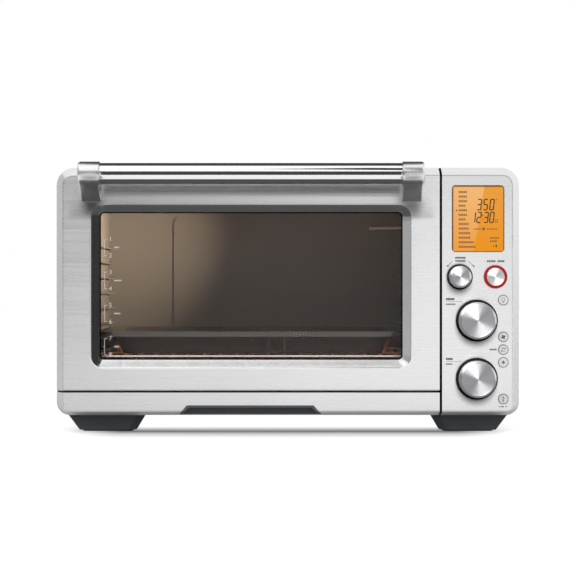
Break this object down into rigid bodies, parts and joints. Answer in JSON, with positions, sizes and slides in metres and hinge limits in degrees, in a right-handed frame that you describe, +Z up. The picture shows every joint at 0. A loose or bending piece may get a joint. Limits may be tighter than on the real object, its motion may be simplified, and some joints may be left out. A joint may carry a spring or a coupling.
{
  "type": "air fryer toaster oven",
  "caption": "Countertop air fryer toaster oven with a drop-down glass door, bar handle, knobs, buttons, display, wire rack, roasting pan and slide-out crumb tray.",
  "frame": {"origin": "on the surface that the oven stands on, under the middle of the whole oven with its handle", "axes": "+X to the right of someone who faces the oven, +Y to its back, +Z up"},
  "size_m": [0.546, 0.445, 0.316],
  "materials": {
    "stainless_front": "brushed",
    "stainless_case": "brushed",
    "sheet_steel": "satin",
    "frame_enamel": "satin black",
    "slate_panel": "satin powder coat",
    "cavity_coating": "satin",
    "door_glass": "clear tempered",
    "lamp_glass": "clear domed",
    "quartz_tube": "frosted quartz",
    "ceramic_cap": "matte",
    "seal_rubber": "matte silicone",
    "foot_rubber": "matte",
    "slate_plastic": "fine texture",
    "black_plastic": "matte",
    "knob_base": "gloss",
    "handle_metal": "polished along its length",
    "handle_casting": "satin cast",
    "knob_metal": "spun",
    "button_silver": "satin silver",
    "ring_red": "translucent",
    "display_amber": "backlit",
    "hinge_steel": "zinc plated",
    "magnet": "nickel plated",
    "rack_chrome": "polished",
    "pan_enamel": "gloss enamel",
    "tray_aluminium": "mill finish",
    "fan_aluminium": "pressed",
    "motor_paint": "satin",
    "circuit_board": "lacquered"
  },
  "bodies": {
    "oven": {"outer_case": "stainless_case", "base_plate": "sheet_steel", "back_panel": "slate_panel", "case_screws": "hinge_steel", "front_frame": "frame_enamel", "front_feet": "slate_plastic", "rear_feet": "slate_plastic", "foot_pads": "foot_rubber", "hinge_brackets": "hinge_steel", "cord_inlet": "black_plastic", "cavity_liner": "cavity_coating", "rack_rails": "cavity_coating", "upper_elements": "quartz_tube", "lower_elements": "quartz_tube", "element_caps": "ceramic_cap", "lamp_lens": "lamp_glass", "lamp_holder": "ceramic_cap", "temperature_probe": "sheet_steel", "fan_grille": "sheet_steel", "fan_housing": "fan_aluminium", "fan_motor": "motor_paint", "cooling_fan_frame": "black_plastic", "control_fascia": "stainless_front", "display_lens": "display_amber", "display_module": "black_plastic", "control_board": "circuit_board", "encoder_bodies": "black_plastic", "button_switches": "black_plastic", "start_ring": "ring_red", "power_board": "circuit_board"},
    "door": {"door_shell": "stainless_front", "door_inner_frame": "sheet_steel", "door_glass": "door_glass", "door_seal": "seal_rubber", "rack_magnets": "magnet", "hinge_arms": "hinge_steel", "handle_bar": "handle_metal", "handle_bracket_left": "handle_casting", "handle_bracket_right": "handle_casting", "handle_screws": "hinge_steel"},
    "rack": {"wire_rack": "rack_chrome", "roasting_pan": "pan_enamel"},
    "tray": {"crumb_tray": "tray_aluminium", "crumb_tray_front": "stainless_front", "crumb_tray_grip": "slate_plastic"},
    "select_push": {"select_plunger": "hinge_steel"},
    "select_dial": {"select_knob": "knob_metal", "select_knob_skirt": "knob_base"},
    "temp_dial": {"temp_knob": "knob_metal", "temp_knob_skirt": "knob_base"},
    "time_dial": {"time_knob": "knob_metal", "time_knob_skirt": "knob_base"},
    "start_push": {"start_button": "knob_metal"},
    "light_push": {"light_button": "button_silver"},
    "fan_push": {"fan_button": "button_silver"},
    "rotate_push": {"rotate_button": "button_silver"},
    "frozen_push": {"frozen_button": "button_silver"},
    "phase_push": {"phase_button": "button_silver"},
    "impeller": {"convection_impeller": "fan_aluminium"},
    "cooling_rotor": {"cooling_fan_rotor": "black_plastic"}
  },
  "joints": [
    {"name": "door_hinge", "type": "hinge", "parent": "oven", "child": "door", "pos_m": [0, -0.1705, 0.0616], "axis": [1, 0, 0], "range_deg": [0, 90]},
    {"name": "rack_slide", "type": "slide", "parent": "oven", "child": "rack", "axis": [0, -1, 0], "range_m": [0, 0.0566]},
    {"name": "tray_slide", "type": "slide", "parent": "oven", "child": "tray", "axis": [0, -1, 0], "range_m": [0, 0.19]},
    {"name": "select_press", "type": "slide", "parent": "oven", "child": "select_push", "axis": [0, 1, 0], "range_m": [0, 0.0015], "stiffness_N_per_m": 600},
    {"name": "select_turn", "type": "hinge", "parent": "select_push", "child": "select_dial", "pos_m": [0.201, -0.19, 0.183], "axis": [0, 1, 0], "continuous": true},
    {"name": "temp_turn", "type": "hinge", "parent": "oven", "child": "temp_dial", "pos_m": [0.221, -0.19, 0.1319], "axis": [0, 1, 0], "continuous": true},
    {"name": "time_turn", "type": "hinge", "parent": "oven", "child": "time_dial", "pos_m": [0.221, -0.19, 0.0638], "axis": [0, 1, 0], "continuous": true},
    {"name": "start_press", "type": "slide", "parent": "oven", "child": "start_push", "axis": [0, 1, 0], "range_m": [0, 0.001], "stiffness_N_per_m": 500},
    {"name": "light_press", "type": "slide", "parent": "oven", "child": "light_push", "axis": [0, 1, 0], "range_m": [0, 0.001], "stiffness_N_per_m": 400},
    {"name": "fan_press", "type": "slide", "parent": "oven", "child": "fan_push", "axis": [0, 1, 0], "range_m": [0, 0.001], "stiffness_N_per_m": 400},
    {"name": "rotate_press", "type": "slide", "parent": "oven", "child": "rotate_push", "axis": [0, 1, 0], "range_m": [0, 0.001], "stiffness_N_per_m": 400},
    {"name": "frozen_press", "type": "slide", "parent": "oven", "child": "frozen_push", "axis": [0, 1, 0], "range_m": [0, 0.001], "stiffness_N_per_m": 400},
    {"name": "phase_press", "type": "slide", "parent": "oven", "child": "phase_push", "axis": [0, 1, 0], "range_m": [0, 0.001], "stiffness_N_per_m": 400},
    {"name": "impeller_spin", "type": "hinge", "parent": "oven", "child": "impeller", "pos_m": [0.171, 0.04, 0.175], "axis": [1, 0, 0], "continuous": true},
    {"name": "cooling_spin", "type": "hinge", "parent": "oven", "child": "cooling_rotor", "pos_m": [0.2154, 0.2085, 0.09], "axis": [0, 1, 0], "continuous": true}
  ],
  "couplings": [
    {"joint": "rack_slide", "follows": "door_hinge", "m_per_rad": 0.036}
  ]
}
